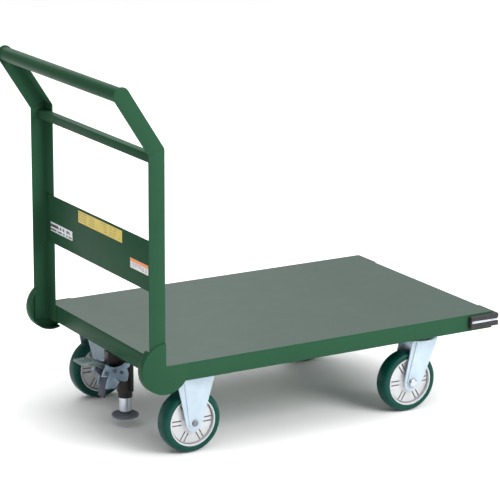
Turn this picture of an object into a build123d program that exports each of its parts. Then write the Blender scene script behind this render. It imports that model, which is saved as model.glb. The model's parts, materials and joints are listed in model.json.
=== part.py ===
from build123d import *
import math
import os

# Platform trolley with an angle-iron push handle, four cast-core wheels and a floor lock.
# Millimetres. +X points away from the handle, +Z is up. Heights here are measured from a datum
# line just above the floor, and save() lifts every piece so that the wheels stand on z = 0.
os.makedirs("parts", exist_ok=True)

# ---- driving dimensions ----
deck_length = 900.0
deck_width = 600.0
wheel_d = 150.0
datum = 6.0
caster_height = 190.0
rail_height = 38.4
deck_sheet = 3.2
rail_steel = 3.2

angle_leg = 40.0
angle_steel = 3.0
lean_deg = 32.75
bend_z = 723.0
arm_to_bar = 156.0
bar_r = 17.0
bar_wall = 2.0
cross_rail_leg = 20.0
cross_rail_top = 713.0
panel_low = 388.3
panel_high = 506.2
panel_sheet = 1.6
gusset_r = 60.0
gusset_steel = 3.2
gusset_rim = 19.0
gusset_drop = 6.0

bumper_thick = 12.0
bumper_reach = 82.0
bumper_side_reach = 83.0
bumper_low = 197.5
bumper_high = 227.5

tyre_width = 42.0
core_r = 58.5
axle_r = 6.0
fork_inner = 24.5
fork_steel = 3.5
track_half = 229.0
rear_axle_x = -352.0
front_axle_x = 248.0
swivel_trail = 38.0

lock_x = -397.4
lock_bore_r = 15.3
lock_rod_r = 15.0
lock_pad_r = 33.0
lock_pad_thick = 8.0
lock_clear = 16.5
lever_x = -438.0
lever_z = 142.0
release_x = -459.0
release_z = 138.0

# ---- derived sizes ----
half_l = deck_length / 2
half_w = deck_width / 2
rail_low = caster_height
rail_high = rail_low + rail_height
deck_top = rail_high + deck_sheet
wheel_r = wheel_d / 2
axle_z = wheel_r - datum
lean = math.radians(lean_deg)
bend_x = -half_l - angle_leg / 2
bar_x = bend_x - arm_to_bar * math.sin(lean)
bar_z = bend_z + arm_to_bar * math.cos(lean)
x_min = bar_x - angle_leg / 2
x_max = half_l + bumper_thick
centre_shift = -(x_min + x_max) / 2
plate_top = caster_height
plate_low = plate_top - 5.0
swivel_x = front_axle_x + swivel_trail


def block(x0, x1, y0, y1, z0, z1):
    size = Box(x1 - x0, y1 - y0, z1 - z0)
    return Pos((x0 + x1) / 2, (y0 + y1) / 2, (z0 + z1) / 2) * size


def rod_y(r, y0, y1, x, z):
    return Pos(x, (y0 + y1) / 2, z) * Rot(90, 0, 0) * Cylinder(r, abs(y1 - y0))


def rod_z(r, z0, z1, x, y):
    return Pos(x, y, (z0 + z1) / 2) * Cylinder(r, abs(z1 - z0))


def hex_z(r, z0, z1, x, y):
    return Pos(x, y, min(z0, z1)) * extrude(RegularPolygon(r, 6), amount=abs(z1 - z0))


def hex_y(r, y0, y1, x, z):
    body = extrude(Plane.XZ * RegularPolygon(r, 6), amount=abs(y1 - y0))
    return Pos(x, max(y0, y1), z) * body


def save(name, shape):
    export_step(Pos(centre_shift, 0, datum) * shape, "parts/" + name + ".step")


def both_sides(name, right_shape):
    """Save a right-hand piece (-Y side) and its mirrored left-hand twin."""
    save(name + "_right", right_shape)
    save(name + "_left", mirror(right_shape, about=Plane.XZ))


def pair_group(shapes):
    """Several separate solids that share one file."""
    solids = []
    for shape in shapes:
        solids.extend(shape.solids())
    return Compound(solids)


# ---- deck and its frame ----
deck = block(-half_l, half_l, -half_w, half_w, rail_high, deck_top)
deck = fillet(deck.edges().filter_by(Axis.Z), 3.0)
deck = fillet(deck.edges().group_by(Axis.Z)[-1], 2.4)
save("deck_plate", deck)

side_rail = block(-half_l, half_l, -half_w, -half_w + rail_steel, rail_low, rail_high)
side_rail += block(-half_l, half_l, -half_w, -half_w + 38, rail_high - rail_steel, rail_high)
side_rail = fillet(side_rail.edges().filter_by(Axis.Z).group_by(Axis.Y)[0], 3.0)
side_rail_left = mirror(side_rail, about=Plane.XZ)
both_sides("side_rail", side_rail)

end_rail = block(-half_l, -half_l + rail_steel, -half_w + rail_steel, half_w - rail_steel, rail_low, rail_high)
end_rail += block(-half_l, -half_l + 38, -half_w + 38, half_w - 38, rail_high - rail_steel, rail_high)
end_rail -= [side_rail, side_rail_left]
save("end_rail_rear", end_rail)
save("end_rail_front", mirror(end_rail, about=Plane.YZ))

# cross channels with the web down, drilled for the casters and the floor lock
bolt_dx = 45.0
bolt_dy = 34.0
bolt_r = 4.0
caster_centres = [(rear_axle_x, -track_half), (rear_axle_x, track_half)]
caster_centres += [(swivel_x, -track_half), (swivel_x, track_half)]
bolt_points = []
for cx, cy in caster_centres:
    for sx in (-1, 1):
        for sy in (-1, 1):
            bolt_points.append((cx + sx * bolt_dx, cy + sy * bolt_dy))
lock_bolt_points = []
for sx in (-1, 1):
    for sy in (-1, 1):
        lock_bolt_points.append((lock_x + sx * 15, sy * 36))


def cross_channel(cx, half):
    y_in = half_w - rail_steel
    top = rail_high - rail_steel
    body = block(cx - half, cx + half, -y_in, y_in, rail_low, rail_low + 3)
    body += block(cx - half, cx - half + 3, -y_in, y_in, rail_low, top)
    body += block(cx + half - 3, cx + half, -y_in, y_in, rail_low, top)
    for px, py in bolt_points + lock_bolt_points:
        if abs(px - cx) < half:
            body -= rod_z(bolt_r + 0.2, rail_low - 1, rail_low + 4, px, py)
    return body


channel_centres = [rear_axle_x - bolt_dx, rear_axle_x + bolt_dx, -31.0]
channel_centres += [swivel_x - bolt_dx, swivel_x + bolt_dx]
for i, cx in enumerate(channel_centres):
    save("cross_channel_" + str(i + 1), cross_channel(cx, 30))

# ---- push handle: angle-iron posts and arms, pipe bar, cross rail, panel ----
half_lean_cut = Pos(bend_x, 0, bend_z) * Rot(0, -lean_deg / 2, 0)
above = half_lean_cut * Pos(0, 0, 500) * Box(1000, 1000, 1000)
below = half_lean_cut * Pos(0, 0, -500) * Box(1000, 1000, 1000)

post = block(-half_l - angle_leg, -half_l, -half_w, -half_w + angle_steel, rail_low, bend_z + 40)
post += block(-half_l - angle_steel, -half_l, -half_w, -half_w + angle_leg, rail_low, bend_z + 40)
post -= above
both_sides("handle_post", post)

arm_plate = block(-angle_leg / 2, angle_leg / 2, -half_w, -half_w + angle_steel, -60, arm_to_bar)
arm_plate += rod_y(angle_leg / 2, -half_w, -half_w + angle_steel, 0, arm_to_bar)
leg_in = angle_leg / 2 - angle_steel
arm_leg = block(leg_in, angle_leg / 2, -half_w, -half_w + angle_leg, -60, arm_to_bar - 19)
arm = Pos(bend_x, 0, bend_z) * Rot(0, -lean_deg, 0) * (arm_plate + arm_leg)
arm -= below
both_sides("handle_arm", arm)

bar_half = half_w - angle_steel
bar = rod_y(bar_r, -bar_half, bar_half, bar_x, bar_z)
bar -= rod_y(bar_r - bar_wall, -bar_half - 1, bar_half + 1, bar_x, bar_z)
save("handle_bar", bar)

leg_back = -half_l - angle_steel
rail_back = leg_back - cross_rail_leg
cross_rail = block(rail_back, leg_back, -bar_half, bar_half, cross_rail_top - 3, cross_rail_top)
cross_rail += block(rail_back, rail_back + 3, -bar_half, bar_half, cross_rail_top - cross_rail_leg, cross_rail_top)
save("cross_rail", cross_rail)

panel_back = leg_back - panel_sheet
save("handle_panel", block(panel_back, leg_back, -bar_half, bar_half, panel_low, panel_high))

label_back = panel_back - 0.4
save("label_plain", block(label_back, panel_back, 154, 272, 418, 440.5))
save("label_notice", block(label_back, panel_back, -103, 121, 472, 500.5))
save("label_small", block(label_back, panel_back, -229, -142, 425, 448))

# three-quarter discs that brace the posts, with a rim turned inwards where they stand clear
g_out = -half_w - gusset_steel
g_z = deck_top - gusset_drop
gusset = rod_y(gusset_r, g_out, -half_w, -half_l, g_z)
gusset -= block(-half_l, 0, -half_w - 10, -half_w + 1, deck_top, deck_top + 200)
rim = rod_y(gusset_r, -half_w, -half_w + gusset_rim, -half_l, g_z)
rim -= rod_y(gusset_r - 3, -half_w - 1, -half_w + gusset_rim + 1, -half_l, g_z)
rim -= block(-half_l - angle_leg, 0, -half_w - 1, -half_w + 60, rail_low, 400)
rim -= block(-half_l + 20, 0, -half_w - 1, -half_w + 60, 0, 400)
both_sides("corner_gusset", gusset + rim)


# ---- rubber corner bumpers with a screwed steel strip in a groove ----
def corner_l(inset, thick, cut, z0, z1):
    """L-shaped band round the front right corner; inset from the outer faces, cut off the ends."""
    ox = half_l + bumper_thick - inset
    oy = -half_w - bumper_thick + inset
    body = block(ox - bumper_side_reach + cut, ox, oy, oy + thick, z0, z1)
    body += block(ox - thick, ox, oy, oy + bumper_reach - cut, z0, z1)
    return body


bumper = corner_l(0, bumper_thick, 0, bumper_low, bumper_high)
tall = bumper.edges().filter_by(Axis.Z)
outer_edge = tall.sort_by(lambda e: e.center().X - e.center().Y)[-1]
bumper = fillet(outer_edge, 5.0)
groove_z = (bumper_low + bumper_high) / 2
bumper -= corner_l(-1, 5.0, -2, groove_z - 4, groove_z + 4)
strip = corner_l(2.0, 2.0, 7, groove_z - 2.9, groove_z + 2.9)
both_sides("bumper", bumper)
both_sides("bumper_strip", strip)

screw_heads = []
for side in (-1, 1):
    for d, along in ((18, 18), (46, 46), (72, 73)):
        sx = half_l + bumper_thick - along
        y_face = side * (half_w + bumper_thick - 2)
        screw_heads.append(rod_y(2.6, y_face, y_face + side * 1.6, sx, groove_z))
        hx = half_l + bumper_thick - 2
        hy = side * (half_w + bumper_thick - d)
        head = Pos(hx + 0.8, hy, groove_z) * Rot(0, 90, 0) * Cylinder(2.6, 1.6)
        screw_heads.append(head)
save("bumper_screws", pair_group(screw_heads))


# ---- casters ----
def wheel_core(x, y):
    """Cast core: raised rim, recessed face with six pairs of slots on each side, and a boss."""
    body = rod_y(core_r, y - 19, y + 19, x, axle_z)
    for side in (-1, 1):
        low, high = sorted((y + side * 14, y + side * 20))
        body -= rod_y(core_r - 5, low, high, x, axle_z)
    for k in range(6):
        turn = Pos(x, y, axle_z) * Rot(0, 60 * k, 0)
        for side in (-1, 1):
            for off in (-5.0, 5.0):
                body -= turn * Pos(39.5, side * 11.5, off) * Box(23, 9, 3.2)
    body += rod_y(18, y - 23.5, y + 23.5, x, axle_z)
    body -= rod_y(axle_r + 0.05, y - 30, y + 30, x, axle_z)
    return body


def wheel_tyre(x, y):
    body = rod_y(wheel_r, y - tyre_width / 2, y + tyre_width / 2, x, axle_z)
    body = fillet(body.edges(), 7.0)
    body -= rod_y(core_r, y - 40, y + 40, x, axle_z)
    return body


def axle_set(x, y, out, cap_r, cap_proud):
    """Axle bolt with a round cap on the outer side, and a nut on the inner side."""
    face = fork_inner + fork_steel + 2.0
    bolt = rod_y(axle_r, y - out * (face + 12), y + out * face, x, axle_z)
    cap = rod_y(cap_r, y + out * face, y + out * (face + cap_proud), x, axle_z)
    rim_edge = cap.edges().filter_by(GeomType.CIRCLE).sort_by(Axis.Y)[-1 if out > 0 else 0]
    cap = fillet(rim_edge, cap_proud * 0.6)
    nut = hex_y(10.5, y - out * (face + 8), y - out * face, x, axle_z)
    nut -= rod_y(axle_r, y - 50, y + 50, x, axle_z)
    return pair_group([bolt + cap, nut])


def leg_sketch(x, r, top_left, top_right, top_z, heel):
    """Outline of one fork leg: the hull of the axle end, a heel beside it and the top edge."""
    ring = Pos(x, axle_z) * Circle(r)
    side = Pos(x + heel, axle_z + heel) * Circle(r)
    top = Pos((top_left + top_right) / 2, top_z - 2) * Rectangle(top_right - top_left, 4)
    lines = list(ring.edges()) + list(top.edges())
    if heel > 0:
        lines += list(side.edges())
    return make_hull(lines)


def fork_leg(x, y, out, top_left, top_right, top_z, raised_left, raised_right, heel):
    """Pressed leg on the side 'out' (+1 or -1) of the wheel, with a raised middle."""
    outline = leg_sketch(x, 21.0, top_left, top_right, top_z, heel)
    plate = extrude(Plane.XZ * outline, amount=fork_steel)
    middle = leg_sketch(x, 14.5, raised_left, raised_right, top_z, heel)
    raised = extrude(Plane.XZ * middle, amount=2.0)
    if out < 0:
        body = Pos(0, y - fork_inner, 0) * plate + Pos(0, y - fork_inner - fork_steel, 0) * raised
    else:
        body = Pos(0, y + fork_inner + fork_steel, 0) * plate
        body += Pos(0, y + fork_inner + fork_steel + 2.0, 0) * raised
    return body - rod_y(axle_r + 0.1, y - 60, y + 60, x, axle_z)


def mount_plate(cx, cy):
    body = block(cx - 58, cx + 58, cy - 45, cy + 45, plate_low, plate_top)
    body = fillet(body.edges().filter_by(Axis.Z), 8.0)
    for sx in (-1, 1):
        for sy in (-1, 1):
            body -= rod_z(bolt_r + 0.2, plate_low - 1, plate_top + 1, cx + sx * bolt_dx, cy + sy * bolt_dy)
    return body


y_right = -track_half
face_half = fork_inner + fork_steel

# fixed casters under the handle end
rear_top = plate_low
fixed_fork = block(rear_axle_x - 38, rear_axle_x + 38, y_right - face_half, y_right + face_half, rear_top - 4, rear_top)
for out in (-1, 1):
    span = (rear_axle_x - 46, rear_axle_x + 54)
    fixed_fork += fork_leg(rear_axle_x, y_right, out, *span, rear_top, rear_axle_x - 29, rear_axle_x + 29, 0)
for sx in (-1, 1):
    for sy in (-1, 1):
        px = rear_axle_x + sx * bolt_dx
        fixed_fork -= rod_z(8.5, rear_top - 9, rear_top + 1, px, y_right + sy * bolt_dy)
both_sides("caster_plate_rear", mount_plate(rear_axle_x, y_right))
both_sides("fork_rear", fixed_fork)

# swivel casters under the front end: race and king pin stay with the deck, the fork turns
crown_top = 172.0
crown_low = 168.0
swivel_fork = rod_z(38, crown_low, crown_top, swivel_x, y_right)
swivel_fork += block(swivel_x - 39, swivel_x + 34, y_right - face_half, y_right + face_half, crown_low, crown_top)
for out in (-1, 1):
    span = (swivel_x - 39, swivel_x + 34)
    swivel_fork += fork_leg(front_axle_x, y_right, out, *span, crown_top, swivel_x - 26, swivel_x + 18, 12)
swivel_fork -= rod_z(7.1, crown_low - 1, crown_top + 1, swivel_x, y_right)
race = rod_z(35, 176.5, plate_low, swivel_x, y_right) + rod_z(29, 172.4, 176.5, swivel_x, y_right)
race -= rod_z(7.3, 170, plate_low + 1, swivel_x, y_right)
king_pin = rod_z(7.0, 159, plate_low, swivel_x, y_right) + hex_z(11.5, 158.5, 167.6, swivel_x, y_right)
both_sides("caster_plate_front", mount_plate(swivel_x, y_right))
both_sides("swivel_race", race)
both_sides("king_pin", king_pin)
both_sides("fork_front", swivel_fork)

for place, ax, cap_r, cap_proud in (("rear", rear_axle_x, 7.5, 4.0), ("front", front_axle_x, 11.0, 8.0)):
    both_sides("axle_bolt_" + place, axle_set(ax, y_right, -1, cap_r, cap_proud))
    both_sides("wheel_core_" + place, wheel_core(ax, y_right))
    both_sides("tyre_" + place, wheel_tyre(ax, y_right))

# hex bolts that hold the casters and the floor lock, head below and nut above the web
fixings = []
for px, py in bolt_points:
    fixings.append(hex_z(7.5, plate_low - 4.5, plate_low, px, py) + rod_z(bolt_r, plate_low, rail_low + 12, px, py))
for px, py in lock_bolt_points:
    fixings.append(hex_z(7.5, plate_low - 4.5, plate_low, px, py) + rod_z(bolt_r, plate_low, rail_low + 12, px, py))
for px, py in bolt_points + lock_bolt_points:
    fixings.append(hex_z(7.5, rail_low + 3, rail_low + 9, px, py) - rod_z(bolt_r, rail_low, rail_low + 20, px, py))
save("mounting_bolts", pair_group(fixings))

# ---- floor lock ----
base = block(lock_x - 33, lock_x + 33, -48, 48, plate_low, plate_top)
base = fillet(base.edges().filter_by(Axis.Z), 6.0)
for px, py in lock_bolt_points:
    base -= rod_z(bolt_r + 0.2, plate_low - 1, plate_top + 1, px, py)
save("lock_base", base)

# cast housing: sleeve with a lower neck, flat cheeks for the side plates, a rib and a rear boss
cheek = 23.2
housing = rod_z(20.5, 80, plate_low, lock_x, 0) + rod_z(17.4, 65.5, 80, lock_x, 0)
housing += block(lock_x + 1, lock_x + 10, -cheek, cheek, 84, 160)
housing += block(lock_x - 28, lock_x + 10, -cheek, cheek, 116, 143)
housing += block(lock_x - 49, lock_x, -11, 11, 150, plate_low)
housing += rod_z(27, 165, plate_low, lock_x, 0)
housing -= rod_z(lock_bore_r, 60, 160, lock_x, 0)
save("lock_housing", housing)

pad_top = lock_clear + lock_pad_thick
save("lock_rod", rod_z(lock_rod_r, pad_top, 140, lock_x, 0))
pad = rod_z(lock_pad_r, lock_clear, pad_top, lock_x, 0)
pad = fillet(pad.edges().group_by(Axis.Z)[-1], 3.0)
save("lock_pad", pad)


def flat_piece(points, y0, y1):
    """A flat sheet piece with the given outline in X and Z, between two Y faces."""
    wire = Wire.make_polygon([Vector(px, pz) for px, pz in points])
    sheet = extrude(Plane.XZ * Face(wire), amount=(y1 - y0) / 2, both=True)
    return Pos(0, (y0 + y1) / 2, 0) * sheet


# zinc side plates on the housing cheeks, each with a hanging tongue on its inner face
plate_line = [(-404, 113), (-401, 131), (-405, 144), (-399, 146), (-396, 153), (-410, 160), (-415, 156)]
plate_line += [(-421, 153), (-429, 151.2), (-438, 150.8), (-448, 154), (-460, 161), (-466, 147), (-472, 133)]
plate_line += [(-462, 130.6), (-446, 130), (-440, 128), (-431, 121), (-421, 115), (-412, 112)]
tongue_line = [(-452, 133), (-437, 133), (-437, 125), (-423, 112.5), (-436, 97.4), (-460, 101)]
side_plates = []
for side in (-1, 1):
    faces = sorted((side * cheek, side * (cheek + 3)))
    inner = sorted((side * cheek, side * (cheek - 3)))
    plate = flat_piece(plate_line, *faces) + flat_piece(tongue_line, *inner)
    plate -= rod_y(3.1, faces[0] - 9, faces[1] + 9, lever_x, lever_z)
    plate -= rod_y(3.1, faces[0] - 9, faces[1] + 9, release_x, release_z)
    side_plates.append(plate)
save("lock_side_plates", pair_group(side_plates))

# a through pin for the lock pedal, short studs for the release pedal, and two round plate screws
lever_pin = rod_y(3.0, -cheek - 5, cheek + 5, lever_x, lever_z)
pins = []
for side in (-1, 1):
    outer = side * (cheek + 3.2)
    head_end = side * (cheek + 6.5)
    lever_pin += rod_y(5, min(outer, head_end), max(outer, head_end), lever_x, lever_z)
    stud = rod_y(3.0, min(side * 15.4, head_end), max(side * 15.4, head_end), release_x, release_z)
    pins.append(stud + rod_y(5, min(outer, head_end), max(outer, head_end), release_x, release_z))
    pins.append(rod_y(4, min(side * (cheek + 3), head_end), max(side * (cheek + 3), head_end), -419.4, 135.6))
pins.append(lever_pin)
save("lock_pins", pair_group(pins))

# lock pedal: two arms from the pivot and a ribbed tread
tread_left = -522.0
tread_right = -487.0
tread_z = 167.0
pedal = block(tread_left, tread_right, -22, 22, tread_z, tread_z + 3)
for k in range(5):
    rib_x = tread_left + 1.5 + k * 7.4
    pedal += block(rib_x, rib_x + 2.5, -21, 21, tread_z + 3, tread_z + 5.5)
arm_line = [(lever_x + 7, lever_z - 5), (lever_x + 7, lever_z + 5), (lever_x - 5, lever_z + 9)]
arm_line += [(-480, tread_z + 3), (-500, tread_z + 3), (-500, tread_z - 6), (-484, tread_z - 8)]
arm_line += [(lever_x - 7, lever_z - 6)]
for side in (-1, 1):
    pedal += flat_piece(arm_line, *sorted((side * 12.0, side * 15.0)))
pedal -= rod_y(3.3, -30, 30, lever_x, lever_z)
save("lock_pedal", pedal)

# release pedal: a hanging dark tread, narrower than the two short arms above it
release = flat_piece([(-449.7, 126), (-445.7, 125), (-458.3, 75.4), (-462.3, 76)], -15.0, 15.0)
release += flat_piece([(-449.7, 126), (-445.7, 125), (-450.2, 107), (-454.2, 108)], -18.6, 18.6)
short_arm = [(-465, 142), (-456, 144), (-452, 138), (-445.7, 125), (-449.7, 118), (-456, 124), (-464, 133)]
for side in (-1, 1):
    release += flat_piece(short_arm, *sorted((side * 15.6, side * 18.6)))
release -= rod_y(3.3, -30, 30, release_x, release_z)
save("release_pedal", release)
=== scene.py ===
import json
import math

import bmesh
import bpy
from mathutils import Matrix, Vector


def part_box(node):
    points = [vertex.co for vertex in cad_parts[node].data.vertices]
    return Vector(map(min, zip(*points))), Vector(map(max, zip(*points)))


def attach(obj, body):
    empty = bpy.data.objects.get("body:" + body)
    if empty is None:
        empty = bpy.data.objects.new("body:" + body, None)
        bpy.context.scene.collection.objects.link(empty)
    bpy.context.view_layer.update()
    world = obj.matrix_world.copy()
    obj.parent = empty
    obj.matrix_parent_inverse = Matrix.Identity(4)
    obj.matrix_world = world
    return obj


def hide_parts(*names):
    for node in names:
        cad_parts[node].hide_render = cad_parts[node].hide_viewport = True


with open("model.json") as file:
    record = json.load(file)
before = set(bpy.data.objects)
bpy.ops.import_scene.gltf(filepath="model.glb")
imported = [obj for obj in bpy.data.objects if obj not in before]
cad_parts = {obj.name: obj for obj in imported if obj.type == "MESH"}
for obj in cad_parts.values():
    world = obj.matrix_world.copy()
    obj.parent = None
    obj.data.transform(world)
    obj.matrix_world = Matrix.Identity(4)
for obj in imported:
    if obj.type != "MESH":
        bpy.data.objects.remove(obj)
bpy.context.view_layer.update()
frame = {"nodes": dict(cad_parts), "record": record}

bl_info = {
    "name": "Platform Trolley Finish",
    "version": (1, 0, 0),
    "blender": (4, 5, 0),
    "location": "View3D > Sidebar > Trolley",
    "description": "Finished surfaces and fittings for a steel platform trolley",
    "category": "Object",
}

BODY_OF = {n: b for b, names in frame["record"]["behaviour"]["bodies"].items() for n in names}
SLOT_OF = {s["node"]: s["material_slot"] for s in frame["record"]["subparts"]}
deck_low, deck_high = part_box("deck_plate")
REAR_X = deck_low.x
SIDE_Y = deck_high.y
TOP_Z = deck_high.z
SIDES = (("right", -1.0), ("left", 1.0))

# Camera: lens in mm, angles in degrees, place in metres (x counted from the handle end of the deck)
LENS = 166.254
AZIMUTH, ELEVATION, ROLL = -30.525, 14.887, 0.334
CAMERA_BACK, CAMERA_Y, CAMERA_Z = 2.3345, -4.6270, 1.8139

# Lamps: name, place, size, power
LAMPS = (
    ("overhead", (1.6, -1.2, 7.0), 14.0, 1050.0),
    ("key", (1.8, -4.2, 2.8), 2.6, 190.0),
    ("back", (0.8, 3.6, 3.2), 3.0, 40.0),
)
LAMP_TARGET = Vector((0, 0, 0.3))
WORLD_STRENGTH = 0.5
FLOOR_HALF = 40

# Finish of each material slot: name, colour (or the name of a colour setting), roughness, other looks
FINISHES = {
    "green_paint": ("green_enamel", "enamel", 0.34,
                    dict(drift=0.05, patch=5.0, grain=420.0, bump=0.06, sheen=0.03, gloss=0.1)),
    # The deck top is painted greyer than the green enamel: a painted reflection of the pale sky over the
    # same green paint.
    "deck_paint": ("deck_enamel", "deck", 0.45,
                   dict(drift=0.03, patch=4.0, grain=500.0, bump=0.1, sheen=0.27, gloss=0.03)),
    "zinc": ("zinc_plate", (0.42, 0.51, 0.58), 0.36,
             dict(metal=0.4, drift=0.07, patch=30.0, grain=900.0, bump=0.06)),
    "bolt_steel": ("plated_fastener", (0.50, 0.53, 0.57), 0.32,
                   dict(metal=1.0, drift=0.12, patch=60.0, grain=1200.0)),
    "dark_steel": ("dark_steel", (0.040, 0.043, 0.058), 0.42,
                   dict(metal=0.2, drift=0.2, patch=40.0, grain=900.0, bump=0.15, sheen=0.3)),
    "cast_core": ("cast_aluminium", (0.53, 0.54, 0.55), 0.42,
                  dict(metal=0.35, drift=0.05, patch=35.0, grain=800.0, bump=0.3)),
    "urethane": ("green_urethane", "tyre", 0.32,
                 dict(drift=0.1, patch=14.0, grain=500.0, bump=0.08, sheen=0.15)),
    "black_rubber": ("bumper_rubber", (0.020, 0.019, 0.021), 0.5,
                     dict(drift=0.25, patch=40.0, grain=1100.0, bump=0.25, sheen=0.3)),
    "grey_rubber": ("foot_rubber", (0.125, 0.140, 0.165), 0.5,
                    dict(drift=0.15, patch=40.0, grain=900.0, bump=0.3, sheen=0.3)),
    "black_cast": ("black_casting", (0.014, 0.013, 0.014), 0.4,
                   dict(drift=0.3, patch=60.0, grain=700.0, bump=0.3, sheen=0.3)),
    "chrome_rod": ("polished_rod", (0.62, 0.66, 0.74), 0.1,
                   dict(metal=1.0, drift=0.03, patch=20.0, grain=1500.0, bump=0.01)),
}

# Stickers: ground, ink, rows of bars, share of a row that is inked, gap scale, band colour
STICKERS = {
    "label_plain": ((0.62, 0.64, 0.68), (0.06, 0.07, 0.07), 2, 0.62, 95.0, None),
    "label_notice": ((0.58, 0.44, 0.04), (0.22, 0.17, 0.03), 5, 0.30, 60.0, None),
    "label_small": ((0.66, 0.66, 0.64), (0.16, 0.16, 0.16), 6, 0.42, 130.0, (0.75, 0.22, 0.05)),
}

# Half of the wheel core's outline as (radius, distance from the wheel's middle plane), rim to bore
CORE_HALF = [(0.0584, 0.0204), (0.0553, 0.0204), (0.0545, 0.0180), (0.0542, 0.0080), (0.0526, 0.0080),
             (0.0522, 0.0140), (0.0250, 0.0152), (0.0200, 0.0170), (0.0180, 0.0225), (0.0170, 0.0235),
             (0.0125, 0.0235), (0.0115, 0.0220), (0.00605, 0.0220)]

# Weld lines: gusset edge radius and the drop of its centre below the deck face, ring round the bar
GUSSET_WELD_RADIUS = 0.0602
GUSSET_DROP = 0.006
BAR_WELD_RADIUS = 0.0172
SCREW_DISTANCES = (0.018, 0.046, 0.073)


# ---------------------------------------------------------------- materials
def node_of(tree, kind, **sockets):
    node = tree.nodes.new(kind)
    for key, value in sockets.items():
        node.inputs[key.replace("_", " ")].default_value = value
    return node


def noise(tree, scale, detail=3.0, stretch=None):
    coords = tree.nodes.new("ShaderNodeTexCoord")
    source = coords.outputs["Object"]
    if stretch:
        mapping = node_of(tree, "ShaderNodeMapping", Scale=stretch)
        tree.links.new(source, mapping.inputs["Vector"])
        source = mapping.outputs["Vector"]
    tex = node_of(tree, "ShaderNodeTexNoise", Scale=scale, Detail=detail)
    tree.links.new(source, tex.inputs["Vector"])
    return tex.outputs["Fac"]


def spread(tree, value, low, high, start=0.3, stop=0.7):
    node = tree.nodes.new("ShaderNodeMapRange")
    for key, number in (("From Min", start), ("From Max", stop), ("To Min", low), ("To Max", high)):
        node.inputs[key].default_value = number
    tree.links.new(value, node.inputs["Value"])
    return node.outputs["Result"]


def blend_colours(tree, factor, first, second):
    ramp = tree.nodes.new("ShaderNodeValToRGB")
    ramp.color_ramp.elements[0].position = 0.3
    ramp.color_ramp.elements[1].position = 0.7
    ramp.color_ramp.elements[0].color = (*first, 1)
    ramp.color_ramp.elements[1].color = (*second, 1)
    tree.links.new(factor, ramp.inputs["Fac"])
    return ramp.outputs["Color"]


def surface(name, colour, rough, metal=0.0, drift=0.06, patch=7.0, grain=600.0, bump=0.08,
            sheen=0.5, gloss=0.2):
    """A finish with drifting colour and gloss over a fine surface grain."""
    made = bpy.data.materials.get(name)
    if made:
        return made
    material = bpy.data.materials.new(name)
    material.use_nodes = True
    tree = material.node_tree
    shader = tree.nodes["Principled BSDF"]
    shader.inputs["Metallic"].default_value = metal
    shader.inputs["Specular IOR Level"].default_value = sheen
    darker = tuple(c * (1 - drift) for c in colour)
    lighter = tuple(min(1.0, c * (1 + drift)) for c in colour)
    tint = blend_colours(tree, noise(tree, patch, 4.0), darker, lighter)
    tree.links.new(tint, shader.inputs["Base Color"])
    shine = spread(tree, noise(tree, patch * 5, 5.0), rough * (1 - gloss), rough * (1 + gloss))
    tree.links.new(shine, shader.inputs["Roughness"])
    relief = node_of(tree, "ShaderNodeBump", Strength=bump, Distance=0.0002)
    tree.links.new(noise(tree, grain, 2.0), relief.inputs["Height"])
    tree.links.new(relief.outputs["Normal"], shader.inputs["Normal"])
    return material


def printed(name, ground, ink, rows, row_share, broken, band=None, low=0.0, high=1.0):
    """A sticker with plain broken bars in rows, and an optional coloured band along its top."""
    material = surface(name, ground, 0.35, drift=0.03, grain=900.0, bump=0.02)
    tree = material.node_tree
    shader = tree.nodes["Principled BSDF"]
    base = shader.inputs["Base Color"].links[0].from_socket
    coords = tree.nodes.new("ShaderNodeTexCoord")
    split = tree.nodes.new("ShaderNodeSeparateXYZ")
    tree.links.new(coords.outputs["Object"], split.inputs["Vector"])
    height = spread(tree, split.outputs["Z"], 0.0, 1.0, low, high)

    def maths(kind, a, b=None):
        node = tree.nodes.new("ShaderNodeMath")
        node.operation = kind
        for i, value in enumerate((a, b)):
            if value is None:
                continue
            if isinstance(value, float):
                node.inputs[i].default_value = value
            else:
                tree.links.new(value, node.inputs[i])
        return node.outputs[0]

    stripe = maths("LESS_THAN", maths("FRACT", maths("MULTIPLY", height, float(rows))), row_share)
    gaps = noise(tree, broken, 0.0, (0.0, 1.0, 0.35))
    marks = maths("MULTIPLY", stripe, maths("GREATER_THAN", gaps, 0.46))
    top = 0.88 if band is None else 0.6
    inside = maths("MULTIPLY", maths("GREATER_THAN", height, 0.12), maths("LESS_THAN", height, top))
    marks = maths("MULTIPLY", marks, inside)

    def over(bottom, colour, mask):
        mix = tree.nodes.new("ShaderNodeMix")
        mix.data_type = "RGBA"
        tree.links.new(mask, mix.inputs["Factor"])
        tree.links.new(bottom, mix.inputs[6])
        mix.inputs[7].default_value = (*colour, 1)
        return mix.outputs[2]

    colour = over(base, ink, marks)
    if band is not None:
        colour = over(colour, band, maths("GREATER_THAN", height, 0.66))
    tree.links.new(colour, shader.inputs["Base Color"])
    return material


def finish_for(slot):
    """The finish of a material slot, with paint and tyre colours taken from the settings."""
    name, colour, rough, looks = FINISHES[slot]
    if isinstance(colour, str):
        colour = tuple(getattr(bpy.context.scene.trolley_colours, colour))
    return surface(name, colour, rough, **looks)


# ---------------------------------------------------------------- mesh helpers
def keep(name, mesh, body, slot, replaced=(), material=None, angle=35.0):
    """Turn a mesh into a finished piece that rides on a body."""
    mesh.materials.clear()
    mesh.materials.append(material or finish_for(slot))
    mesh.shade_smooth()
    mesh.set_sharp_from_angle(angle=math.radians(angle))
    piece = bpy.data.objects.new(name, mesh)
    bpy.context.scene.collection.objects.link(piece)
    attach(piece, body)
    if replaced:
        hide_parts(*replaced)
    return piece


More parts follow.
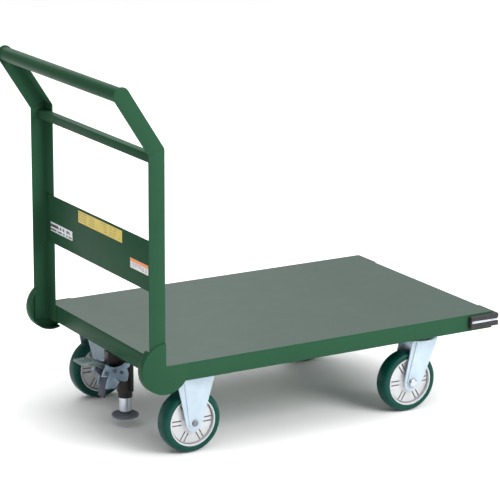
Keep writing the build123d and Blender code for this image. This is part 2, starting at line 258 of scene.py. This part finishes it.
def settle(mesh, set_up):
    """Run a modifier set-up on a loose mesh and return the plain result."""
    holder = bpy.data.objects.new("holder", mesh)
    bpy.context.scene.collection.objects.link(holder)
    set_up(holder)
    bpy.context.view_layer.update()
    graph = bpy.context.evaluated_depsgraph_get()
    result = bpy.data.meshes.new_from_object(holder.evaluated_get(graph))
    holder.modifiers.clear()
    bpy.data.objects.remove(holder)
    return result


def bevelled(mesh, width, segments=2, angle=32.0):
    def set_up(holder):
        mod = holder.modifiers.new("edge", "BEVEL")
        mod.width = width
        mod.segments = segments
        mod.limit_method = "ANGLE"
        mod.angle_limit = math.radians(angle)
        mod.use_clamp_overlap = True
    return settle(mesh, set_up)


def soften(node, width=0.0008, segments=2, angle=32.0, material=None):
    """A copy of a steel piece with its sharp edges eased, in place of the plain one."""
    mesh = frame["nodes"][node].data.copy()
    shape = bmesh.new()
    shape.from_mesh(mesh)
    bmesh.ops.remove_doubles(shape, verts=shape.verts, dist=0.00002)
    bmesh.ops.dissolve_limit(shape, angle_limit=math.radians(0.6), verts=shape.verts, edges=shape.edges)
    shape.to_mesh(mesh)
    shape.free()
    eased = bevelled(mesh, width, segments, angle)
    return keep("eased_" + node, eased, BODY_OF[node], SLOT_OF[node], (node,), material)


def lathe(profile, centre, axis="Y", steps=96):
    """Closed profile of (radius, along) points turned about an axis through centre."""
    shape = bmesh.new()
    rings = []
    for i in range(steps):
        t = 2 * math.pi * i / steps
        c, s = math.cos(t), math.sin(t)
        ring = []
        for r, a in profile:
            place = Vector((r * c, a, r * s)) if axis == "Y" else Vector((r * c, r * s, a))
            ring.append(shape.verts.new(place + centre))
        rings.append(ring)
    count = len(profile)
    for i in range(steps):
        j = (i + 1) % steps
        for k in range(count):
            m = (k + 1) % count
            shape.faces.new((rings[i][k], rings[i][m], rings[j][m], rings[j][k]))
    bmesh.ops.remove_doubles(shape, verts=shape.verts, dist=0.000001)
    bmesh.ops.recalc_face_normals(shape, faces=shape.faces)
    mesh = bpy.data.meshes.new("turned")
    shape.to_mesh(mesh)
    shape.free()
    return mesh


def rounded(points, radius, steps=3):
    """Ease the corners of a closed (radius, along) profile."""
    out = []
    count = len(points)
    for i, here in enumerate(points):
        p, a, b = Vector(here), Vector(points[i - 1]), Vector(points[(i + 1) % count])
        u, w = a - p, b - p
        cut = min(radius, u.length * 0.45, w.length * 0.45)
        if cut < 1e-6 or u.angle(w, 0) > math.radians(172):
            out.append(here)
            continue
        start, stop = p + u.normalized() * cut, p + w.normalized() * cut
        for k in range(steps + 1):
            t = k / steps
            q = start * (1 - t) ** 2 + p * 2 * t * (1 - t) + stop * t * t
            out.append((q.x, q.y))
    return out


def carved(mesh, cutter_mesh):
    """The mesh with another closed mesh cut out of it."""
    cutter = bpy.data.objects.new("cutter", cutter_mesh)
    bpy.context.scene.collection.objects.link(cutter)

    def set_up(holder):
        mod = holder.modifiers.new("slots", "BOOLEAN")
        mod.operation = "DIFFERENCE"
        mod.solver = "EXACT"
        mod.object = cutter
    result = settle(mesh, set_up)
    bpy.data.objects.remove(cutter)
    return result


# ---------------------------------------------------------------- node trees
def new_tree(name, inputs):
    tree = bpy.data.node_groups.new(name, "GeometryNodeTree")
    tree.interface.new_socket(name="Geometry", in_out="INPUT", socket_type="NodeSocketGeometry")
    for label, kind, value in inputs:
        socket = tree.interface.new_socket(name=label, in_out="INPUT", socket_type=kind)
        if value is not None:
            socket.default_value = value
    tree.interface.new_socket(name="Geometry", in_out="OUTPUT", socket_type="NodeSocketGeometry")
    return tree, tree.nodes.new("NodeGroupInput"), tree.nodes.new("NodeGroupOutput")


def close_tree(tree, start, end, instances):
    realize = tree.nodes.new("GeometryNodeRealizeInstances")
    paint = tree.nodes.new("GeometryNodeSetMaterial")
    tree.links.new(instances, realize.inputs[0])
    tree.links.new(realize.outputs[0], paint.inputs["Geometry"])
    tree.links.new(start.outputs["Finish"], paint.inputs["Material"])
    tree.links.new(paint.outputs[0], end.inputs[0])


def slot_tree():
    """Pairs of straight slot shapes on both faces of the wheel, spaced evenly round its axle."""
    tree, start, end = new_tree("paired_wheel_slots", [
        ("Pairs", "NodeSocketInt", 6), ("Slot size", "NodeSocketVector", (0.023, 0.012, 0.0032)),
        ("Middle radius", "NodeSocketFloat", 0.0395), ("Half gap", "NodeSocketFloat", 0.0050),
        ("Face offset", "NodeSocketFloat", 0.0125), ("Phase", "NodeSocketFloat", 0.0),
        ("Finish", "NodeSocketMaterial", None)])
    link = tree.links.new
    bar = tree.nodes.new("GeometryNodeMeshCube")
    link(start.outputs["Slot size"], bar.inputs["Size"])
    join = tree.nodes.new("GeometryNodeJoinGeometry")

    def signed(value, sign):
        node = tree.nodes.new("ShaderNodeMath")
        node.operation = "MULTIPLY"
        node.inputs[1].default_value = sign
        link(value, node.inputs[0])
        return node.outputs[0]

    for across in (-1.0, 1.0):
        for face in (-1.0, 1.0):
            place = tree.nodes.new("ShaderNodeCombineXYZ")
            link(start.outputs["Middle radius"], place.inputs["X"])
            link(signed(start.outputs["Face offset"], face), place.inputs["Y"])
            link(signed(start.outputs["Half gap"], across), place.inputs["Z"])
            move = tree.nodes.new("GeometryNodeTransform")
            link(bar.outputs["Mesh"], move.inputs["Geometry"])
            link(place.outputs[0], move.inputs["Translation"])
            link(move.outputs[0], join.inputs[0])
    points = tree.nodes.new("GeometryNodePoints")
    link(start.outputs["Pairs"], points.inputs["Count"])
    index = tree.nodes.new("GeometryNodeInputIndex")
    step = tree.nodes.new("ShaderNodeMath")
    step.operation = "DIVIDE"
    step.inputs[0].default_value = 2 * math.pi
    link(start.outputs["Pairs"], step.inputs[1])
    turn = tree.nodes.new("ShaderNodeMath")
    turn.operation = "MULTIPLY_ADD"
    link(index.outputs[0], turn.inputs[0])
    link(step.outputs[0], turn.inputs[1])
    link(start.outputs["Phase"], turn.inputs[2])
    angles = tree.nodes.new("ShaderNodeCombineXYZ")
    link(turn.outputs[0], angles.inputs["Y"])
    scatter = tree.nodes.new("GeometryNodeInstanceOnPoints")
    link(points.outputs[0], scatter.inputs["Points"])
    link(join.outputs[0], scatter.inputs["Instance"])
    link(angles.outputs[0], scatter.inputs["Rotation"])
    close_tree(tree, start, end, scatter.outputs[0])
    return tree


def bead_tree():
    """Overlapping weld ripples along every edge of the given mesh."""
    tree, start, end = new_tree("weld_ripples", [
        ("Ripple radius", "NodeSocketFloat", 0.0016), ("Ripple step", "NodeSocketFloat", 0.0019),
        ("Unevenness", "NodeSocketFloat", 0.18), ("Seed", "NodeSocketInt", 4),
        ("Finish", "NodeSocketMaterial", None)])
    link = tree.links.new
    path = tree.nodes.new("GeometryNodeMeshToCurve")
    link(start.outputs["Geometry"], path.inputs[0])
    points = tree.nodes.new("GeometryNodeCurveToPoints")
    points.mode = "LENGTH"
    link(path.outputs[0], points.inputs["Curve"])
    link(start.outputs["Ripple step"], points.inputs["Length"])
    ball = tree.nodes.new("GeometryNodeMeshUVSphere")
    ball.inputs["Segments"].default_value = 8
    ball.inputs["Rings"].default_value = 6
    link(start.outputs["Ripple radius"], ball.inputs["Radius"])
    low = tree.nodes.new("ShaderNodeMath")
    low.operation = "SUBTRACT"
    low.inputs[0].default_value = 1.0
    link(start.outputs["Unevenness"], low.inputs[1])
    rand = tree.nodes.new("FunctionNodeRandomValue")
    rand.data_type = "FLOAT"
    link(low.outputs[0], rand.inputs[2])
    rand.inputs[3].default_value = 1.05
    link(start.outputs["Seed"], rand.inputs["Seed"])
    scatter = tree.nodes.new("GeometryNodeInstanceOnPoints")
    link(points.outputs["Points"], scatter.inputs["Points"])
    link(ball.outputs["Mesh"], scatter.inputs["Instance"])
    link(rand.outputs[1], scatter.inputs["Scale"])
    close_tree(tree, start, end, scatter.outputs[0])
    return tree


def dome_tree():
    """A low round screw head on every point of the given mesh."""
    tree, start, end = new_tree("domed_heads", [
        ("Head radius", "NodeSocketFloat", 0.0026), ("Flatness", "NodeSocketFloat", 0.6),
        ("Finish", "NodeSocketMaterial", None)])
    link = tree.links.new
    ball = tree.nodes.new("GeometryNodeMeshUVSphere")
    ball.inputs["Segments"].default_value = 16
    ball.inputs["Rings"].default_value = 10
    link(start.outputs["Head radius"], ball.inputs["Radius"])
    scatter = tree.nodes.new("GeometryNodeInstanceOnPoints")
    link(start.outputs["Geometry"], scatter.inputs["Points"])
    link(ball.outputs["Mesh"], scatter.inputs["Instance"])
    link(start.outputs["Flatness"], scatter.inputs["Scale"])
    close_tree(tree, start, end, scatter.outputs[0])
    return tree


def grow(tree, seed_mesh, material, **values):
    """Run a node tree on a mesh, with inputs given by name, and return the plain result."""
    values["Finish"] = material
    ids = {i.name: i.identifier for i in tree.interface.items_tree if i.in_out == "INPUT"}

    def set_up(holder):
        mod = holder.modifiers.new("grow", "NODES")
        mod.node_group = tree
        for label, value in values.items():
            mod[ids[label.replace("_", " ")]] = value
    return settle(seed_mesh, set_up)


def edge_mesh(lines):
    """A loose mesh of polylines."""
    verts, edges = [], []
    for line in lines:
        base = len(verts)
        verts.extend(line)
        edges.extend((base + i, base + i + 1) for i in range(len(line) - 1))
    mesh = bpy.data.meshes.new("lines")
    mesh.from_pydata([tuple(v) for v in verts], edges, [])
    return mesh


def arc_line(centre, radius, start, sweep, steps):
    """Points of an upright arc about centre, from start through sweep degrees."""
    x, y, z = centre
    angles = [math.radians(start + sweep * k / steps) for k in range(steps + 1)]
    return [(x + radius * math.cos(t), y, z + radius * math.sin(t)) for t in angles]


# ---------------------------------------------------------------- settings
class TrolleyColours(bpy.types.PropertyGroup):
    enamel: bpy.props.FloatVectorProperty(
        name="Enamel", description="Gloss paint on the handle and rails", subtype="COLOR", size=3,
        default=(0.020, 0.068, 0.036))
    # Greyer than the enamel: the deck colour holds a painted sky reflection over the same green paint.
    deck: bpy.props.FloatVectorProperty(
        name="Deck paint", description="Paint on the deck sheet", subtype="COLOR", size=3,
        default=(0.046, 0.073, 0.060))
    tyre: bpy.props.FloatVectorProperty(
        name="Tyre", description="Urethane of the tyres", subtype="COLOR", size=3,
        default=(0.002, 0.050, 0.038))


class TrolleySizes(bpy.types.PropertyGroup):
    edge: bpy.props.FloatProperty(
        name="Eased edge", description="Rounding of cut steel edges", default=0.0008, unit="LENGTH")
    slot_pairs: bpy.props.IntProperty(
        name="Slot pairs", description="Pairs of slots round each wheel core", default=6, min=3, max=10)
    bead: bpy.props.FloatProperty(
        name="Weld bead", description="Radius of a weld ripple", default=0.0015, unit="LENGTH")


# ---------------------------------------------------------------- pieces
class TROLLEY_OT_stage(bpy.types.Operator):
    """Camera, pale floor and soft lights"""
    bl_idname = "trolley.stage"
    bl_label = "Stage"

    def execute(self, context):
        scene = context.scene
        data = bpy.data.cameras.new("camera")
        data.sensor_width = 36.0
        data.lens = LENS
        data.clip_end = 100.0
        camera = bpy.data.objects.new("camera", data)
        scene.collection.objects.link(camera)
        place = Matrix.Translation((REAR_X - CAMERA_BACK, CAMERA_Y, CAMERA_Z))
        turn = Matrix.Rotation(math.radians(AZIMUTH), 4, "Z")
        tilt = Matrix.Rotation(math.radians(90 - ELEVATION), 4, "X")
        roll = Matrix.Rotation(math.radians(ROLL), 4, "Z")
        camera.matrix_world = place @ turn @ tilt @ roll
        scene.camera = camera
        scene.view_settings.view_transform = "Standard"

        mesh = bpy.data.meshes.new("floor")
        h = FLOOR_HALF
        mesh.from_pydata([(-h, -h, 0), (h, -h, 0), (h, h, 0), (-h, h, 0)], [], [(0, 1, 2, 3)])
        floor = bpy.data.objects.new("floor", mesh)
        scene.collection.objects.link(floor)
        mesh.materials.append(surface("pale_floor", (0.93, 0.93, 0.93), 0.8, drift=0.01, patch=1.0,
                                      grain=50.0, bump=0.01, sheen=0.1))

        world = bpy.data.worlds.new("studio")
        scene.world = world
        world.use_nodes = True
        sky = world.node_tree.nodes["Background"]
        sky.inputs["Color"].default_value = (1, 1, 1, 1)
        sky.inputs["Strength"].default_value = WORLD_STRENGTH
        for name, spot, size, power in LAMPS:
            lamp = bpy.data.lights.new(name, "AREA")
            lamp.size = size
            lamp.energy = power
            holder = bpy.data.objects.new(name, lamp)
            holder.location = spot
            holder.rotation_euler = (LAMP_TARGET - Vector(spot)).to_track_quat("-Z", "Y").to_euler()
            scene.collection.objects.link(holder)
        return {"FINISHED"}


class TROLLEY_OT_deck(bpy.types.Operator):
    """Deck sheet, rails and cross channels"""
    bl_idname = "trolley.deck"
    bl_label = "Deck"

    def execute(self, context):
        edge = context.scene.trolley_sizes.edge
        sheet = soften("deck_plate", 0.0006)
        # Top faces get the deck colour with its painted sky reflection; the side faces keep the plain green
        # enamel.
        sheet.data.materials.append(finish_for("green_paint"))
        for face in sheet.data.polygons:
            face.material_index = 0 if face.normal.z > 0.85 else 1
        for node in ("side_rail_left", "side_rail_right", "end_rail_rear", "end_rail_front"):
            soften(node, 0.0004)
        for i in range(1, 6):
            soften("cross_channel_%d" % i, edge)
        return {"FINISHED"}


class TROLLEY_OT_handle(bpy.types.Operator):
    """Posts, arms, grip bar, cross rail, panel and gussets"""
    bl_idname = "trolley.handle"
    bl_label = "Handle"

    def execute(self, context):
        edge = context.scene.trolley_sizes.edge
        for side, _ in SIDES:
            soften("handle_post_" + side, edge)
            soften("handle_arm_" + side, edge)
            soften("corner_gusset_" + side, edge)
        soften("cross_rail", edge)
        soften("handle_panel", 0.0004)
        low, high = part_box("handle_bar")
        centre = (low + high) / 2
        radius, half = (high.x - low.x) / 2, (high.y - low.y) / 2
        bore = radius - 0.002
        profile = rounded([(bore, -half), (radius, -half), (radius, half), (bore, half)], 0.0006)
        keep("grip_bar", lathe(profile, centre), "frame", "green_paint", ("handle_bar",))
        return {"FINISHED"}


class TROLLEY_OT_welds(bpy.types.Operator):
    """Weld beads where the handle meets the deck and its own cross pieces"""
    bl_idname = "trolley.welds"
    bl_label = "Welds"

    def execute(self, context):
        radius = context.scene.trolley_sizes.bead
        lines = []
        panel_low, panel_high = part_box("handle_panel")
        rail_low, rail_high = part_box("cross_rail")
        bar_low, bar_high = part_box("handle_bar")
        bar = (bar_low + bar_high) / 2
        for _, s in SIDES:
            y_leg, y_in, y_out = s * (SIDE_Y - 0.040), s * (SIDE_Y - 0.003), s * (SIDE_Y + 0.0002)
            lines.append([(REAR_X - 0.0004, y_leg, TOP_Z - 0.039), (REAR_X - 0.0004, y_leg, TOP_Z - 0.003)])
            lines.append([(panel_low.x, y_in, panel_low.z + 0.01),
                          (panel_low.x, y_in, panel_high.z - 0.01)])
            lines.append([(rail_low.x, y_in, rail_low.z + 0.001), (rail_low.x, y_in, rail_high.z - 0.001)])
            lines.append([(REAR_X + 0.002, y_out, TOP_Z - 0.0012), (REAR_X + 0.058, y_out, TOP_Z - 0.0012)])
            gusset = (REAR_X, y_out, TOP_Z - GUSSET_DROP)
            lines.append(arc_line(gusset, GUSSET_WELD_RADIUS, -3, -38, 16))
            lines.append(arc_line(gusset, GUSSET_WELD_RADIUS, 92, 38, 16))
            lines.append(arc_line((bar.x, s * (SIDE_Y - 0.0034), bar.z), BAR_WELD_RADIUS, 0, 360, 32))
        finish = finish_for("green_paint")
        mesh = grow(bead_tree(), edge_mesh(lines), finish, Ripple_radius=radius)
        keep("weld_beads", mesh, "frame", "green_paint", material=finish, angle=60)
        return {"FINISHED"}


class TROLLEY_OT_labels(bpy.types.Operator):
    """Plain stickers with generic bars"""
    bl_idname = "trolley.labels"
    bl_label = "Stickers"

    def execute(self, context):
        for node, (ground, ink, rows, share, broken, band) in STICKERS.items():
            low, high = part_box(node)
            sticker = frame["nodes"][node]
            sticker.data.materials.clear()
            sticker.data.materials.append(printed(
                "sticker_" + node, ground, ink, rows, share, broken, band, low.z, high.z))
        return {"FINISHED"}


class TROLLEY_OT_bumpers(bpy.types.Operator):
    """Rubber corner bumpers, steel strips and screw heads"""
    bl_idname = "trolley.bumpers"
    bl_label = "Bumpers"

    def execute(self, context):
        points = []
        for side, s in SIDES:
            soften("bumper_" + side, 0.0016, 3)
            soften("bumper_strip_" + side, 0.0005)
            low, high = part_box("bumper_strip_" + side)
            z = (low.z + high.z) / 2
            y_face = low.y if s < 0 else high.y
            for d in SCREW_DISTANCES:
                points.append((high.x + 0.002 - d, y_face + s * 0.0002, z))
                points.append((high.x + 0.0002, y_face - s * (d - 0.004), z))
        finish = finish_for("bolt_steel")
        mesh = grow(dome_tree(), edge_mesh([[p] for p in points]), finish, Flatness=0.68)
        keep("bumper_screw_heads", mesh, "frame", "bolt_steel", ("bumper_screws",),
             material=finish, angle=60)
        return {"FINISHED"}


class TROLLEY_OT_wheels(bpy.types.Operator):
    """Urethane tyres on slotted cast cores"""
    bl_idname = "trolley.wheels"
    bl_label = "Wheels"

    def execute(self, context):
        tree = slot_tree()
        pairs = context.scene.trolley_sizes.slot_pairs
        cast = finish_for("cast_core")
        for place in ("rear", "front"):
            for side, _ in SIDES:
                tag = place + "_" + side
                low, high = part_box("tyre_" + tag)
                centre = (low + high) / 2
                half = (high.y - low.y) / 2
                big = (high.z - low.z) / 2
                tyre = [(0.0585, -0.0190), (0.0600, -half + 0.0012), (0.0635, -half),
                        (0.0690, -half + 0.0008), (0.0727, -half + 0.0045),
                        (0.0745, -half + 0.0095), (big, -0.004), (big, 0.004),
                        (0.0745, half - 0.0095), (0.0727, half - 0.0045), (0.0690, half - 0.0008),
                        (0.0635, half), (0.0600, half - 0.0012), (0.0585, 0.0190)]
                tyre = rounded(tyre, 0.002, 2)
                keep("tyre_band_" + tag, lathe(tyre, centre, steps=128), "wheel_" + tag, "urethane",
                     ("tyre_" + tag,))
                core = CORE_HALF + [(r, -a) for r, a in reversed(CORE_HALF)]
                core = rounded(core, 0.0008, 2)
                body = lathe(core, centre, steps=128)
                slots = grow(tree, edge_mesh([[(0, 0, 0)]]), cast, Pairs=pairs)
                slots.transform(Matrix.Translation(centre))
                body = carved(body, slots)
                keep("cast_core_" + tag, body, "wheel_" + tag, "cast_core", ("wheel_core_" + tag,))
        return {"FINISHED"}


class TROLLEY_OT_forks(bpy.types.Operator):
    """Pressed forks, plates, axles, races and king pins"""
    bl_idname = "trolley.forks"
    bl_label = "Forks"

    def execute(self, context):
        for side, _ in SIDES:
            for place in ("rear", "front"):
                soften("fork_%s_%s" % (place, side), 0.0011, 3, 28.0)
                soften("caster_plate_%s_%s" % (place, side), 0.0008)
                soften("axle_bolt_%s_%s" % (place, side), 0.0009)
            soften("swivel_race_" + side, 0.001, 2)
            soften("king_pin_" + side, 0.0009)
        soften("mounting_bolts", 0.0006)
        return {"FINISHED"}


class TROLLEY_OT_floor_lock(bpy.types.Operator):
    """Floor lock: casting, plunger, foot, side plates and pedals"""
    bl_idname = "trolley.floor_lock"
    bl_label = "Floor lock"

    def execute(self, context):
        soften("lock_base", 0.001)
        soften("lock_housing", 0.0022, 3)
        soften("lock_side_plates", 0.0007, material=surface(
            "blued_zinc", (0.25, 0.34, 0.42), 0.36, metal=0.6, drift=0.1, patch=40.0, grain=900.0,
            bump=0.06))
        soften("lock_pins", 0.0008, material=surface(
            "worn_pin", (0.10, 0.13, 0.16), 0.5, metal=0.3, drift=0.1, patch=60.0, grain=900.0, sheen=0.2))
        soften("lock_pedal", 0.0006, material=surface(
            "worn_zinc", (0.16, 0.21, 0.21), 0.4, metal=0.6, drift=0.2, patch=60.0, grain=900.0, bump=0.1))
        soften("release_pedal", 0.001, material=surface(
            "blue_black_steel", (0.055, 0.062, 0.085), 0.5, drift=0.2, patch=40.0, grain=900.0, sheen=0.15))
        low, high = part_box("lock_rod")
        centre = Vector(((low.x + high.x) / 2, (low.y + high.y) / 2, 0))
        radius = (high.x - low.x) / 2
        rod = rounded([(0, low.z), (radius, low.z), (radius, high.z), (0, high.z)], 0.0008)
        keep("polished_rod", lathe(rod, centre, "Z"), "lock_plunger", "chrome_rod", ("lock_rod",))
        low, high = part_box("lock_pad")
        r, z0, z1 = (high.x - low.x) / 2, low.z, high.z
        foot = [(0, z0), (r - 0.004, z0), (r - 0.001, z0 + 0.0015), (r, z0 + 0.004),
                (r - 0.0015, z1 - 0.0012), (r - 0.005, z1), (r - 0.0105, z1 - 0.0006),
                (r - 0.013, z1 - 0.003), (0.0215, z1 - 0.003), (0.0205, z1), (0, z1)]
        foot = rounded(foot, 0.0012)
        keep("rubber_foot", lathe(foot, centre, "Z"), "lock_plunger", "grey_rubber", ("lock_pad",))
        return {"FINISHED"}


class TROLLEY_PT_panel(bpy.types.Panel):
    bl_idname = "TROLLEY_PT_panel"
    bl_label = "Platform trolley"
    bl_space_type = "VIEW_3D"
    bl_region_type = "UI"
    bl_category = "Trolley"

    def draw(self, context):
        for group in (context.scene.trolley_colours, context.scene.trolley_sizes):
            for key in group.bl_rna.properties.keys():
                if key not in ("rna_type", "name"):
                    self.layout.prop(group, key)
        for operator in OPERATORS:
            self.layout.operator(operator.bl_idname)


OPERATORS = (TROLLEY_OT_stage, TROLLEY_OT_deck, TROLLEY_OT_handle, TROLLEY_OT_welds, TROLLEY_OT_labels,
             TROLLEY_OT_bumpers, TROLLEY_OT_wheels, TROLLEY_OT_forks, TROLLEY_OT_floor_lock)
CLASSES = (TrolleyColours, TrolleySizes) + OPERATORS + (TROLLEY_PT_panel,)


def register():
    for cls in CLASSES:
        bpy.utils.register_class(cls)
    bpy.types.Scene.trolley_colours = bpy.props.PointerProperty(type=TrolleyColours)
    bpy.types.Scene.trolley_sizes = bpy.props.PointerProperty(type=TrolleySizes)


def unregister():
    del bpy.types.Scene.trolley_sizes
    del bpy.types.Scene.trolley_colours
    for cls in reversed(CLASSES):
        bpy.utils.unregister_class(cls)


def main():
    register()
    for operator in OPERATORS:
        group, name = operator.bl_idname.split(".")
        getattr(getattr(bpy.ops, group), name)()
    bpy.context.view_layer.update()


if __name__ == "__main__":
    main()
